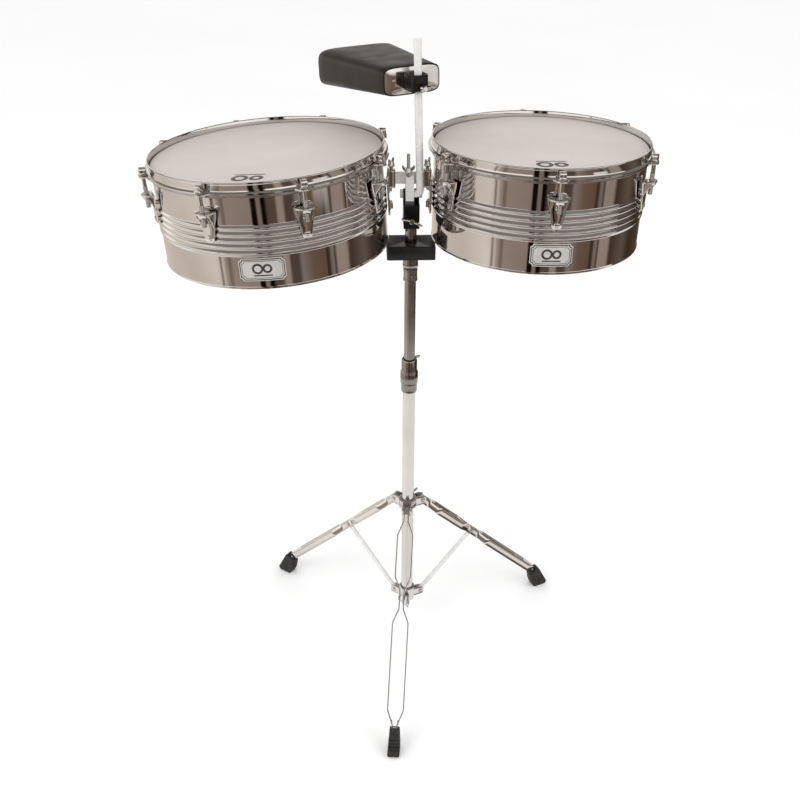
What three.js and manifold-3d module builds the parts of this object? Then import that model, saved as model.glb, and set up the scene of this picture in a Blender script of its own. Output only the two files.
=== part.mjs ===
// Timbales: two metal drums on a rail, a cowbell on a post and a folding tripod stand.
// Millimetres, +Z up. The stand's pole is modelled on the Z axis with the floor at Z = FLOOR,
// and the whole group is then moved so that its box's bottom centre is the origin.
import * as THREE from 'three';
import { mergeVertices } from 'three/addons/utils/BufferGeometryUtils.js';
import Module from 'manifold-3d';

const wasm = await Module();
wasm.setup();

const DEG = Math.PI / 180;
const GAP = 0.3;                 // play between pieces that touch

const FLOOR = 7;

// Pole and telescoping tube
const TUBE_R = 9.5;
const TUBE_WALL = 1.6;
const TUBE_Z = [450, 903];
const LOWER_R = 11.1;
const LOWER_BORE_R = 9.9;
const LOWER_Z = [84, 600];
const BORE_PLAY = 0.35;
const TUBE_SIDES = 20;

// Legs: each is a pair of flat strips, hinged on the hub and braced by a strut
const LEG_AZIMUTHS = { front: -96.5, right: 23.5, left: 143.5 };
const PIVOT_R = 28;              // leg and strut pivots, from the pole's axis
const HUB_PIVOT_Z = 321.5;
const COLLAR_PIVOT_Z = 96;
const LEG_ANGLE = 44.9 * DEG;    // from straight down, with the stand open
const BRACE_Z = (HUB_PIVOT_Z - COLLAR_PIVOT_Z) / 2;
const BRACE_LENGTH = BRACE_Z / Math.cos(LEG_ANGLE);
const LEG_LENGTH = 392;
const STRIP_TALL = 14;
const STRIP_THICK = 2;
const PIN_R = 3;
const TONGUE_HALF = 4.6;
const CHEEK = [5, 8];            // clevis cheeks, out from the leg's middle plane
const HUB_SCREW = { azimuth: 78 * DEG, z: 322, turn: 60 * DEG };
const HEIGHT_SCREW = { azimuth: 80 * DEG, z: 615, turn: 90 * DEG };

// Head of the stand
const BLOCK = { x: 39, y: [-26, 30], z: [818, 841] };
const CLAMP = { x: 12.5, y: [-22, 16], z: [870, 908] };
const TILT_PIVOT = { y: 2, z: 920 };
const TONGUE_X = [-9.6, 3];      // the rail's tongue, between the clamp's two cheeks
const REST_TILT = -0.69 * DEG;   // the drums' backs sit a little low
const RAIL = { x: [-38.6, 31.4], y: 2.5, z: [936.4, 955.4] };
const BORE_Y = -16;              // cross bore for the cowbell post
const BORE_Z = 925.5;
const STUD_X = -5.4;             // wing nut that grips the post, beside the tongue's middle

// Drums, in their own frame: Z = 0 at the rim's top, shell below; lugs and badge by azimuth in degrees
const DRUMS = [
  {
    side: 'left', toPole: 1, radius: 176.4, x: -222.3, z: 996.6, roll: -3.6 * DEG, sleeve: [-38, -25],
    lugs: [20, 65, 110, 155, 200, 245, 290, 335], badge: { azimuth: -92.4, width: 68 },
  },
  {
    side: 'right', toPole: -1, radius: 163.7, x: 198.8, z: 1008.8, roll: 0.54 * DEG, sleeve: [18.5, 31],
    lugs: [30.5, 90.5, 150.5, 210.5, 270.5, 330.5], badge: { azimuth: -90.3, width: 63 },
  },
];
const DRUM_SEGMENTS = 36;
const SHELL_TOP = -10;
const SHELL_BOTTOM = -159.6;
const SHELL_WALL = 1.2;
const BEADS = 5;
const BEAD_PITCH = 9.4;
const BEADS_TOP = -62.5;
const BEAD_OUT = 2.2;
const HOOP_BAND = [2.2, 4.4];    // inner and outer radius, beyond the shell's
const FLANGE_OUT = 9.5;
const FLANGE_Z = [-16.5, -13.5];
const EAR_OUT = 20.5;
const ROD_OUT = 13.5;
const ROD_R = 3.8;
const ROD_END = -62;
const SHELF_Z = [-43.5, -40.5];
const LUG_PLATE = [3.5, 6.5];    // stands off the beads
const BADGE = { z: -129, height: 35 };

// Cowbell and its post
const POST_R = 6;
const POST_TOP = 1155.5;
const POST_LEAN = -1.8 * DEG;
const POST_X = 13;
const CLAMP_HEIGHT = 168;        // cowbell clamp's middle, up the post from its elbow
const BUSHING_R = 8;
const BELL_YAW = 22.2 * DEG;
const BELL_LENGTH = 216;
const BELL_HEEL = [92, 42];
const BELL_MOUTH = [139, 59];
const BELL_DROP = 4.6;           // how far the top slopes down towards the mouth
const BELL_WALL = 1.6;
const BELL_OFFSET = 21;          // from the post's axis to the heel's face

const CHROME = { color: 0xb9b6b2, roughness: 0.12, metalness: 1 };
const DARK_CHROME = { color: 0x6f6a66, roughness: 0.22, metalness: 1 };
const STEEL = { color: 0x8f8a85, roughness: 0.3, metalness: 1 };
const BLACK_CAST = { color: 0x1b1a19, roughness: 0.55, metalness: 0.2 };
const BLACK_PAINT = { color: 0x2b2826, roughness: 0.45, metalness: 0.3 };
const RUBBER = { color: 0x141414, roughness: 0.85, metalness: 0 };
const FILM = { color: 0xd6cfca, roughness: 0.35, metalness: 0 };
const PLATE = { color: 0xc9c6c2, roughness: 0.3, metalness: 0.8 };

// Geometry helpers

function bare(geometry) {
  const copy = geometry.index ? geometry.toNonIndexed() : geometry.clone();
  copy.deleteAttribute('normal');
  copy.deleteAttribute('uv');
  return mergeVertices(copy, 1e-4);
}

function toSolid(geometry) {
  const clean = bare(geometry);
  const vertProperties = new Float32Array(clean.attributes.position.array);
  const triVerts = new Uint32Array(clean.index.array);
  return new wasm.Manifold(new wasm.Mesh({ numProp: 3, vertProperties, triVerts }));
}

function toGeometry(solid) {
  const mesh = solid.getMesh();
  const geometry = new THREE.BufferGeometry();
  geometry.setAttribute('position', new THREE.BufferAttribute(new Float32Array(mesh.vertProperties), 3));
  geometry.setIndex(new THREE.BufferAttribute(new Uint32Array(mesh.triVerts), 1));
  return geometry;
}

function join(first, ...others) {
  return toGeometry(others.reduce((sum, next) => sum.add(toSolid(next)), toSolid(first)));
}

function cut(body, ...cutters) {
  return toGeometry(cutters.reduce((rest, next) => rest.subtract(toSolid(next)), toSolid(body)));
}

function box(x, y, z) {
  const geometry = new THREE.BoxGeometry(x[1] - x[0], y[1] - y[0], z[1] - z[0]);
  return geometry.translate((x[0] + x[1]) / 2, (y[0] + y[1]) / 2, (z[0] + z[1]) / 2);
}

function upright(radius, z, sides = 12, turn = 0) {
  const geometry = new THREE.CylinderGeometry(radius, radius, z[1] - z[0], sides);
  return geometry.rotateY(turn).rotateX(Math.PI / 2).translate(0, 0, (z[0] + z[1]) / 2);
}

function alongX(radius, x, y, z, sides = 12) {
  return upright(radius, x, sides).rotateY(Math.PI / 2).translate(0, y, z);
}

function alongY(radius, y, x, z, sides = 12) {
  return upright(radius, y, sides).rotateX(-Math.PI / 2).translate(x, 0, z);
}

function lathe(points, sides) {
  const profile = points.map(([r, z]) => new THREE.Vector2(r, z));
  if (THREE.ShapeUtils.area(profile) < 0) {
    profile.reverse();
  }
  return new THREE.LatheGeometry(profile, sides).rotateX(Math.PI / 2);
}

function ring(inner, outer, z, sides) {
  return lathe([[inner, z[0]], [outer, z[0]], [outer, z[1]], [inner, z[1]], [inner, z[0]]], sides);
}

function outline(points, holes = []) {
  const shape = new THREE.Shape(points.map(([x, y]) => new THREE.Vector2(x, y)));
  for (const hole of holes) {
    shape.holes.push(new THREE.Path(hole.map(([x, y]) => new THREE.Vector2(x, y))));
  }
  return shape;
}

// A flat outline in X and Y, thickened from z[0] to z[1]
function slab(points, z, holes) {
  const settings = { depth: z[1] - z[0], bevelEnabled: false };
  return new THREE.ExtrudeGeometry(outline(points, holes), settings).translate(0, 0, z[0]);
}

function arc(radius, from, to, steps, centre = [0, 0]) {
  const points = [];
  for (let i = 0; i <= steps; i += 1) {
    const angle = (from + ((to - from) * i) / steps) * DEG;
    points.push([centre[0] + radius * Math.cos(angle), centre[1] + radius * Math.sin(angle)]);
  }
  return points;
}

function piece(name, geometry, look) {
  const clean = bare(geometry);
  clean.computeVertexNormals();
  const mesh = new THREE.Mesh(clean, new THREE.MeshStandardMaterial({ ...look, flatShading: true }));
  mesh.name = name;
  return mesh;
}

function group(...children) {
  const holder = new THREE.Group();
  holder.add(...children);
  return holder;
}

// A wing screw along Z: its shank's end is at 0, and its wings lie in the XZ plane
function wingScrew(shankR, shankLength, span) {
  const top = shankLength;
  const half = span / 2;
  const wing = [
    [3, top + 1], [half * 0.6, top + 2], [half, top + 7], [half, top + 12], [half * 0.8, top + 13],
    [half * 0.5, top + 8], [2, top + 8],
  ];
  const mirrored = wing.map(([x, z]) => [-x, z]).reverse();
  const ear = (points) => slab(points, [-1.5, 1.5]).rotateX(Math.PI / 2);
  return join(
    upright(shankR, [0, top + 1], 8),
    upright(5.5, [top, top + 9], 8),
    ear(wing),
    ear(mirrored),
  );
}

// Stand

function footPiece(name) {
  const side = [
    [300, 0], [328, 0], [331, 4], [329, 10], [311, 45],
    [307, 48], [303, 46.5], [290, 37.5], [289.5, 33], [294, 15],
  ];
  const body = slab(side, [-11, 11]).rotateX(Math.PI / 2).translate(0, 0, FLOOR);
  const tall = STRIP_TALL / 2 + GAP;
  const pocket = legSpace(box([320, LEG_LENGTH + GAP], [-6, 6], [-tall, tall]));
  return piece(name, cut(body, pocket), RUBBER);
}

// Moves a shape made along the leg (X down the leg from its pivot, Y across) into the stand's frame
function legSpace(geometry) {
  const down = new THREE.Vector3(Math.sin(LEG_ANGLE), 0, -Math.cos(LEG_ANGLE));
  const across = new THREE.Vector3(0, 1, 0);
  const matrix = new THREE.Matrix4().makeBasis(down, across, new THREE.Vector3().crossVectors(down, across));
  matrix.setPosition(PIVOT_R, 0, HUB_PIVOT_Z);
  return geometry.applyMatrix4(matrix);
}

function legPiece(name) {
  const bays = [
    [21, 5], [46, 15], [122, 15], [BRACE_LENGTH - 12, 4.8],
    [BRACE_LENGTH + 20, 4.8], [204, 15], [355, 15], [380, 5],
  ];
  const start = [[-8, 2.6], [-5, TONGUE_HALF], [12, TONGUE_HALF]];
  const side = [...start, ...bays, [LEG_LENGTH, 5]];
  const outer = [...side.map(([x, y]) => [x, -y]), ...side.slice().reverse()];
  const hollow = bays.map(([x, y]) => [x, y - STRIP_THICK]);
  const inner = [...hollow.map(([x, y]) => [x, -y]), ...hollow.slice().reverse()];
  const strips = slab(outer, [-STRIP_TALL / 2, STRIP_TALL / 2], [inner]);
  const rivet = (y) => alongY(4.5, y, BRACE_LENGTH, 0, 10);
  const pinHole = alongY(PIN_R + 0.5, [-10, 10], 0, 0, 8);
  const leg = cut(join(strips, rivet([-6.6, -3.4]), rivet([3.4, 6.6])), pinHole);
  return piece(name, legSpace(leg), CHROME);
}

function strutPiece(name) {
  const end = BRACE_LENGTH;
  const plan = [...arc(7, 90, 270, 6), ...arc(7, -90, 90, 6, [end, 0])];
  const bar = slab(plan, [-2, 2]).rotateX(Math.PI / 2);
  const hole = alongY(PIN_R + 0.5, [-5, 5], 0, 0, 8);
  const rise = Math.PI / 2 - LEG_ANGLE;
  return piece(name, cut(bar, hole).rotateY(-rise).translate(PIVOT_R, 0, COLLAR_PIVOT_Z), STEEL);
}

function clevis(pivotZ, low, high, gapHalf, outerHalf) {
  const cheek = [[9, low], [PIVOT_R + 7, low], [PIVOT_R + 7, high], [9, high]];
  const plate = (y) => slab(cheek, y).rotateX(Math.PI / 2);
  return [
    plate([gapHalf, outerHalf]),
    plate([-outerHalf, -gapHalf]),
    alongY(PIN_R, [-outerHalf - 2, outerHalf + 2], PIVOT_R, pivotZ, 6),
  ];
}

function bracket(body, bore, pivotZ, low, high, gapHalf, outerHalf) {
  const ears = [];
  for (const azimuth of Object.values(LEG_AZIMUTHS)) {
    for (const part of clevis(pivotZ, low, high, gapHalf, outerHalf)) {
      ears.push(part.rotateZ(azimuth * DEG));
    }
  }
  return cut(join(body, ...ears), bore);
}

function stand() {
  const parts = [];
  for (const [side, azimuth] of Object.entries(LEG_AZIMUTHS)) {
    const set = group(legPiece(`leg_${side}`), footPiece(`foot_${side}`), strutPiece(`strut_${side}`));
    set.rotation.z = azimuth * DEG;
    parts.push(set);
  }
  const lowerBore = (z) => upright(LOWER_R + BORE_PLAY, z, TUBE_SIDES);
  const hubBody = lathe([[9, 312], [17, 312], [17, 331], [9, 331], [9, 312]], TUBE_SIDES);
  const cheeks = [HUB_PIVOT_Z - 10, HUB_PIVOT_Z + 10];
  const hub = bracket(hubBody, lowerBore([300, 350]), HUB_PIVOT_Z, ...cheeks, CHEEK[0], CHEEK[1]);
  const { azimuth: screwAzimuth, z: screwZ } = HUB_SCREW;
  const radial = (shape) => shape.rotateY(Math.PI / 2).translate(0, 0, screwZ).rotateZ(screwAzimuth);
  const hubBoss = radial(upright(6.5, [12.5, 22], 10));
  const hubHole = radial(upright(3.3, [5, 30], 10));
  parts.push(piece('hub', cut(join(hub, hubBoss), hubHole), CHROME));
  const collarBody = lathe([[9, 86], [15, 86], [15, 118], [9, 118], [9, 86]], TUBE_SIDES);
  const collarBore = upright(LOWER_R + GAP, [80, 120], TUBE_SIDES);
  const collar = bracket(collarBody, collarBore, COLLAR_PIVOT_Z, 88, 106, 2.5, 5.5);
  parts.push(piece('strut_collar', collar, CHROME));
  parts.push(piece('lower_tube', ring(LOWER_BORE_R, LOWER_R, LOWER_Z, TUBE_SIDES), CHROME));
  parts.push(heightClamp());
  parts.push(piece('upper_tube', ring(TUBE_R - TUBE_WALL, TUBE_R, TUBE_Z, TUBE_SIDES), DARK_CHROME));
  const lockProfile = [[9.8, 773], [11, 773], [12, 775], [12, 794], [11, 796], [9.8, 796], [9.8, 773]];
  const lock = lathe(lockProfile, TUBE_SIDES);
  parts.push(piece('memory_lock', lock, STEEL));

  parts.push(radialScrew('hub_wing_screw', wingScrew(3, 14, 30), LOWER_R + 0.5, HUB_SCREW));
  parts.push(radialScrew('height_wing_screw', wingScrew(3, 14, 30), TUBE_R + 0.5, HEIGHT_SCREW));
  return group(...parts);
}

// A wing screw that points at the pole, its shank's end at the given radius and its wings turned from upright
function radialScrew(name, geometry, radius, spot) {
  const screw = piece(name, geometry, CHROME);
  screw.rotation.set(0, 90 * DEG, spot.turn);
  screw.position.set(radius, 0, spot.z);
  const turned = group(screw);
  turned.rotation.z = spot.azimuth;
  return turned;
}

function heightClamp() {
  const profile = [
    [LOWER_R + GAP, 564], [13.6, 564], [14, 566], [14, 579], [15.2, 581], [15.3, 603], [13.5, 606],
    [13.5, 625], [12.5, 627], [TUBE_R + GAP, 627], [TUBE_R + GAP, LOWER_Z[1] + GAP],
    [LOWER_R + GAP, LOWER_Z[1] + GAP], [LOWER_R + GAP, 564],
  ];
  const { azimuth, z } = HEIGHT_SCREW;
  const boss = box([9, 21], [-7, 7], [z - 8, z + 8]).rotateZ(azimuth);
  const hole = upright(3.3, [5, 30], 10).rotateY(Math.PI / 2).translate(0, 0, z).rotateZ(azimuth);
  const bore = upright(TUBE_R + GAP, [602, 630], TUBE_SIDES);
  return piece('height_clamp', cut(join(lathe(profile, TUBE_SIDES), boss), hole, bore), DARK_CHROME);
}

// Head that turns on the upper tube: support collar, rubbing block and tilting clamp

function tubeHead() {
  const bore = (z) => upright(TUBE_R + GAP, z, TUBE_SIDES);
  const collar = lathe([[9.8, 797.5], [12.4, 797.5], [13, 799.5], [13, 815], [13, 817.7], [9.8, 817.7],
    [9.8, 797.5]], TUBE_SIDES);
  const blockBody = box([-BLOCK.x, BLOCK.x], BLOCK.y, BLOCK.z);
  const block = cut(blockBody, bore([BLOCK.z[0] - 2, BLOCK.z[1] + 2]));
  const cheekFoot = CLAMP.z[1] - 2;
  const cheekSide = [[-6, cheekFoot], [10, cheekFoot], ...arc(8, 0, 180, 8, [TILT_PIVOT.y, TILT_PIVOT.z])];
  const cheek = (x) => slab(cheekSide, x).rotateY(Math.PI / 2).rotateX(Math.PI / 2);
  const bodyBox = box([-CLAMP.x, CLAMP.x], CLAMP.y, CLAMP.z);
  const screwHole = alongY(3.3, [-40, -5], 0, 886, 12);
  const pinHole = alongX(4.35, [-20, 20], TILT_PIVOT.y, TILT_PIVOT.z, 12);
  const clamp = cut(
    join(bodyBox, cheek([5, CLAMP.x]), cheek([-CLAMP.x, TONGUE_X[0] - GAP])),
    bore([CLAMP.z[0] - 2, 903.5]),
    screwHole,
    pinHole,
  );
  const screw = piece('tube_wing_screw', wingScrew(3, 16, 35), CHROME);
  screw.rotation.set(90 * DEG, 0, -20 * DEG);
  screw.position.set(0, -TUBE_R - 0.5, 886);
  return group(
    piece('swivel_collar', collar, DARK_CHROME),
    piece('support_block', block, BLACK_PAINT),
    piece('tilt_clamp', clamp, BLACK_CAST),
    screw,
  );
}

// Rail and the tongue that carries it and the cowbell's post

function tongue() {
  const y = TILT_PIVOT.y;
  const side = [
    [-24, 916], [-6, 914], [y, 913], [8, 916], [9, 940], [6, 948],
    ...arc(12.5, 20, 160, 6, [-10, 944]),
    [-24, 944],
  ];
  const body = slab(side, TONGUE_X).rotateY(Math.PI / 2).rotateX(Math.PI / 2);
  const railSlot = box([-12, 8], [-RAIL.y - GAP, RAIL.y + GAP], [RAIL.z[0] - GAP, RAIL.z[1] + GAP]);
  const postBore = alongX(POST_R + 0.7, [-8, 8], BORE_Y, BORE_Z, 12);
  const studHole = upright(3.4, [BORE_Z, 970], 12).translate(STUD_X, BORE_Y, 0);
  const pin = join(
    alongX(4, [-15.5, 15.5], TILT_PIVOT.y, TILT_PIVOT.z, 12),
    alongX(7, [-17.5, -CLAMP.x - GAP], TILT_PIVOT.y, TILT_PIVOT.z, 6),
    alongX(7, [CLAMP.x + GAP, 17.5], TILT_PIVOT.y, TILT_PIVOT.z, 6),
  );
  return piece('rail_tongue', join(cut(body, railSlot, postBore, studHole), pin), CHROME);
}

function railGroup() {
  const rail = piece('rail', box(RAIL.x, [-RAIL.y, RAIL.y], RAIL.z), CHROME);
  const nut = piece('post_wing_nut', wingScrew(3, 25.5, 20.5), CHROME);
  nut.position.set(STUD_X, BORE_Y, BORE_Z + POST_R + 0.8);
  return group(rail, tongue(), nut, ...DRUMS.map(drum), cowbellPost());
}

// Drums

function shellProfile(radius) {
  const outer = [[radius, SHELL_TOP], [radius, BEADS_TOP]];
  for (let i = 0; i < BEADS; i += 1) {
    outer.push([radius + BEAD_OUT, BEADS_TOP - (i + 0.5) * BEAD_PITCH]);
    outer.push([radius, BEADS_TOP - (i + 1) * BEAD_PITCH]);
  }
  const inner = radius - SHELL_WALL;
  return [...outer, [radius, SHELL_BOTTOM], [inner, SHELL_BOTTOM], [inner, SHELL_TOP], [radius, SHELL_TOP]];
}

function lug(radius) {
  const plate = [[-16.5, -40.5], [-7, -88], [7, -88], [16.5, -40.5]];
  const back = slab(plate, LUG_PLATE).rotateY(Math.PI / 2).rotateX(Math.PI / 2).translate(radius, 0, 0);
  const rim = arc(16.5, -90, 90, 5).map(([x, y]) => [x * 1.05 + radius + LUG_PLATE[1] - 2, y]);
  const shelf = slab(rim, SHELF_Z);
  const web = [[radius + 5, -42], [radius + 19, -42], [radius + 15, -50], [radius + 5, -70]];
  const gusset = (y) => slab(web, y).rotateX(Math.PI / 2);
  const stud = (z) => alongX(5, [radius - 0.9, radius + 8.6], 0, z, 4);
  const hole = upright(ROD_R + 0.6, [-52, -38], 6).translate(radius + ROD_OUT, 0, 0);
  const boss = upright(6.5, [-49, -42], 6).translate(radius + ROD_OUT, 0, 0);
  const frame = join(back, shelf, gusset([9, 11.5]), gusset([-11.5, -9]), boss, stud(-56), stud(-81));
  return cut(frame, hole);
}

function around(geometry, angle) {
  return geometry.clone().rotateZ(angle * DEG);
}

function shell(spec) {
  const body = lathe(shellProfile(spec.radius), DRUM_SEGMENTS);
  const lugs = spec.lugs.map((angle) => around(lug(spec.radius), angle));
  return join(body, ...lugs);
}

function hoop(spec) {
  const r = spec.radius;
  const [inner, outer] = [r + HOOP_BAND[0], r + HOOP_BAND[1]];
  const flange = r + FLANGE_OUT;
  const band = lathe([
    [inner, FLANGE_Z[0]], [flange, FLANGE_Z[0]], [flange, FLANGE_Z[1]], [outer, FLANGE_Z[1]],
    [outer, 0], [inner, 0], [inner, FLANGE_Z[0]],
  ], DRUM_SEGMENTS);
  const reach = EAR_OUT - 11;
  const tip = arc(reach, -72, 72, 3).map(([x, y]) => [x + r + 11, y]);
  const ear = slab([[r + 5, -13], ...tip, [r + 5, 13]], FLANGE_Z);
  const hole = upright(ROD_R + 0.7, [-20, 0], 6).translate(r + ROD_OUT, 0, 0);
  const ears = spec.lugs.map((angle) => around(ear, angle));
  const holes = spec.lugs.map((angle) => around(hole, angle));
  return cut(join(band, ...ears), ...holes);
}

function rod() {
  return join(
    upright(ROD_R, [ROD_END, FLANGE_Z[1] + GAP + 1], 6),
    upright(7.4, [FLANGE_Z[1] + GAP, FLANGE_Z[1] + GAP + 1.5], 8),
    upright(7.2, [FLANGE_Z[1] + GAP + 1, -1], 4, 45 * DEG),
  );
}

function film(radius) {
  const outer = radius + 1;
  const inner = radius + 0.4;
  const [top, under, hem] = [-9.1, -9.7, -16.3];
  const profile = [[0, top], [outer, top], [outer, hem], [inner, hem], [inner, under], [0, under]];
  return lathe(profile, DRUM_SEGMENTS);
}

function badge({ radius, badge: { azimuth, width } }) {
  const layer = ring(radius + 0.4, radius + 1.6, [BADGE.z - 30, BADGE.z + 30], DRUM_SEGMENTS);
  const [w, h] = [width / 2, BADGE.height / 2];
  const corner = 5;
  const plan = [
    [w, -h + corner], [w, h - corner], [w - corner, h - corner], [w - corner, h],
    [-w + corner, h], [-w + corner, h - corner], [-w, h - corner], [-w, -h + corner],
    [-w + corner, -h + corner], [-w + corner, -h], [w - corner, -h], [w - corner, -h + corner],
  ];
  const prism = slab(plan, [radius - 20, radius + 20]).rotateY(Math.PI / 2).rotateX(Math.PI / 2);
  const facing = prism.translate(0, 0, BADGE.z).rotateZ(azimuth * DEG);
  return toGeometry(toSolid(layer).intersect(toSolid(facing)));
}

// Hanger plate bolted to the shell, with a sleeve that slides on the rail and the screw that locks it
function hanger(spec) {
  const r = spec.radius;
  const turn = spec.toPole > 0 ? 0 : 180;
  const plate = box([r + 2.7, r + 6.2], [-18, 18], [-118, -64]);
  const bolt = (z) => alongX(8, [r + 5, r + 11], 0, z, 8);
  const local = join(plate, bolt(-78), bolt(-106));
  const toRail = new THREE.Group();
  toRail.rotation.y = spec.roll;
  toRail.position.set(spec.x, 0, spec.z);
  toRail.updateMatrix();
  const inverse = toRail.matrix.clone().invert();
  const x = spec.sleeve;
  const z = [RAIL.z[0] - 5, RAIL.z[1] + 5];
  const sleeve = box(x, [-9, 9], z).applyMatrix4(inverse);
  const slot = box([x[0] - 9, x[1] + 9], [-RAIL.y - 0.5, RAIL.y + 0.5], [RAIL.z[0] - 0.5, RAIL.z[1] + 0.5]);
  const screwX = (x[0] + x[1]) / 2;
  const hole = upright(3.3, [RAIL.z[1] - 1, RAIL.z[1] + 12], 10).translate(screwX, 0, 0);
  const body = join(around(local, turn), sleeve);
  const made = cut(body, slot.applyMatrix4(inverse), hole.applyMatrix4(inverse));
  const screw = piece(`hanger_screw_${spec.side}`, wingScrew(3, 8, 16), CHROME);
  screw.rotation.z = 60 * DEG;
  screw.position.set(screwX, 0, RAIL.z[1] + 0.5);
  return { bracketPiece: piece(`hanger_${spec.side}`, made, CHROME), screw };
}

function drum(spec) {
  const { side, radius } = spec;
  const { bracketPiece, screw } = hanger(spec);
  const rods = spec.lugs.map((angle, index) => {
    const made = piece(`rod_${side}_${index + 1}`, rod(), CHROME);
    made.rotation.z = angle * DEG;
    made.position.set(radius + ROD_OUT, 0, 0).applyAxisAngle(new THREE.Vector3(0, 0, 1), angle * DEG);
    return made;
  });
  const body = group(
    piece(`shell_${side}`, shell(spec), CHROME),
    piece(`hoop_${side}`, hoop(spec), CHROME),
    piece(`head_film_${side}`, film(radius), FILM),
    piece(`flesh_hoop_${side}`, ring(radius + 0.6, radius + 5.5, [-22, -16.8], DRUM_SEGMENTS), STEEL),
    piece(`badge_${side}`, badge(spec), PLATE),
    bracketPiece,
    ...rods,
  );
  body.rotation.y = spec.roll;
  body.position.set(spec.x, 0, spec.z);
  return group(body, screw);
}

// Cowbell

function postGeometry() {
  const bend = 7.5;
  const lean = new THREE.Vector3(Math.sin(POST_LEAN), 0, Math.cos(POST_LEAN));
  const bendStart = new THREE.Vector3(-bend, 0, 0);
  const bendEnd = lean.clone().multiplyScalar(bend);
  const elbow = new THREE.QuadraticBezierCurve3(bendStart, new THREE.Vector3(), bendEnd);
  const points = [new THREE.Vector3(-POST_X - 6, 0, 0), ...elbow.getPoints(6)];
  points.push(lean.clone().multiplyScalar(POST_TOP - BORE_Z));
  return sweepRound(points, POST_R, 12);
}

// A closed round bar through the given points, with mitred corners
function sweepRound(points, radius, sides) {
  const positions = [];
  const side = new THREE.Vector3(0, 1, 0);
  points.forEach((point, i) => {
    const before = points[Math.max(i - 1, 0)];
    const after = points[Math.min(i + 1, points.length - 1)];
    const along = new THREE.Vector3().subVectors(after, before).normalize();
    const up = new THREE.Vector3().crossVectors(along, side);
    for (let k = 0; k < sides; k += 1) {
      const angle = (2 * Math.PI * k) / sides;
      const spot = point.clone();
      spot.addScaledVector(side, radius * Math.cos(angle)).addScaledVector(up, radius * Math.sin(angle));
      positions.push(spot);
    }
  });
  return ringsToGeometry(positions, sides);
}

// Joins rings of points into one closed skin, with a flat fan over the first and last ring
function ringsToGeometry(positions, sides) {
  const count = positions.length / sides;
  const triangles = [];
  for (let r = 0; r + 1 < count; r += 1) {
    for (let k = 0; k < sides; k += 1) {
      const a = r * sides + k;
      const b = r * sides + ((k + 1) % sides);
      triangles.push(a, b, b + sides, a, b + sides, a + sides);
    }
  }
  const last = (count - 1) * sides;
  for (let k = 1; k + 1 < sides; k += 1) {
    triangles.push(0, k + 1, k);
    triangles.push(last, last + k, last + k + 1);
  }
  const geometry = new THREE.BufferGeometry();
  const flat = positions.flatMap((p) => [p.x, p.y, p.z]);
  geometry.setAttribute('position', new THREE.BufferAttribute(new Float32Array(flat), 3));
  geometry.setIndex(triangles);
  return geometry;
}

// A rounded, slightly bulging oblong in X and Z at the distance y along the bell
function bellRing(width, tall, y, top, sides) {
  const points = [];
  for (let k = 0; k < sides; k += 1) {
    const angle = (-2 * Math.PI * (k + 0.5)) / sides;
    const c = Math.cos(angle);
    const s = Math.sin(angle);
    const x = Math.sign(c) * Math.abs(c) ** 0.34 * (width / 2);
    const z = Math.sign(s) * Math.abs(s) ** 0.4 * (tall / 2);
    points.push(new THREE.Vector3(x, y, top - tall / 2 + z));
  }
  return points;
}

function cowbell() {
  const sides = 28;
  const [hw, ht] = BELL_HEEL;
  const [mw, mt] = BELL_MOUTH;
  const w = BELL_WALL;
  const rings = [
    bellRing(hw - 4, ht - 4, 0, -2, sides),
    bellRing(hw, ht, 2.5, 0, sides),
    bellRing(mw, mt, BELL_LENGTH, -BELL_DROP, sides),
    bellRing(mw - 2 * w, mt - 2 * w, BELL_LENGTH, -BELL_DROP - w, sides),
    bellRing(hw - 2 * w, ht - 2 * w, 2.5 + w, -w, sides),
  ];
  return ringsToGeometry(rings.flat(), sides);
}

function cowbellPost() {
  const post = piece('cowbell_post', postGeometry(), CHROME);
  const bushing = piece('clamp_bushing', ring(POST_R + 0.4, BUSHING_R, [-12, 12], 16), BLACK_CAST);
  bushing.position.z = CLAMP_HEIGHT;

  const back = BELL_OFFSET - GAP;
  const front = [[-14, back], [-14, -9], [-10, -13], [8, -13], [14, -6], [14, back]];
  const bore = upright(BUSHING_R + GAP, [-20, 20], 16);
  const screwHole = upright(3.3, [0, 30], 10).rotateX(Math.PI / 2).translate(0, 0, -5);
  const block = piece('cowbell_clamp', cut(slab(front, [-12.5, 12.5]), bore, screwHole), BLACK_CAST);
  const bell = piece('cowbell', cowbell(), BLACK_PAINT);
  bell.position.set(0, BELL_OFFSET, 21);
  const screw = piece('cowbell_wing_screw', wingScrew(3, 8, 34), CHROME);
  screw.rotation.set(90 * DEG, 0, 12 * DEG);
  screw.position.set(0, -BUSHING_R - 0.7, -5);
  const turned = group(block, bell, screw);
  turned.rotation.z = BELL_YAW;
  turned.position.z = CLAMP_HEIGHT;

  const upper = group(bushing, turned);
  upper.rotation.y = POST_LEAN;
  const whole = group(post, upper);
  whole.position.set(POST_X, BORE_Y, BORE_Z);
  return whole;
}

// Assembly

function tilted(contents) {
  const inner = group(contents);
  inner.position.set(0, -TILT_PIVOT.y, -TILT_PIVOT.z);
  const outer = group(inner);
  outer.position.set(0, TILT_PIVOT.y, TILT_PIVOT.z);
  outer.rotation.x = REST_TILT;
  return outer;
}

const timbales = group(stand(), tubeHead(), tilted(railGroup()));
timbales.updateMatrixWorld(true);
const size = new THREE.Box3().setFromObject(timbales, true);
timbales.position.set(-(size.min.x + size.max.x) / 2, -(size.min.y + size.max.y) / 2, -size.min.z);
timbales.updateMatrixWorld(true);

export default timbales;
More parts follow.
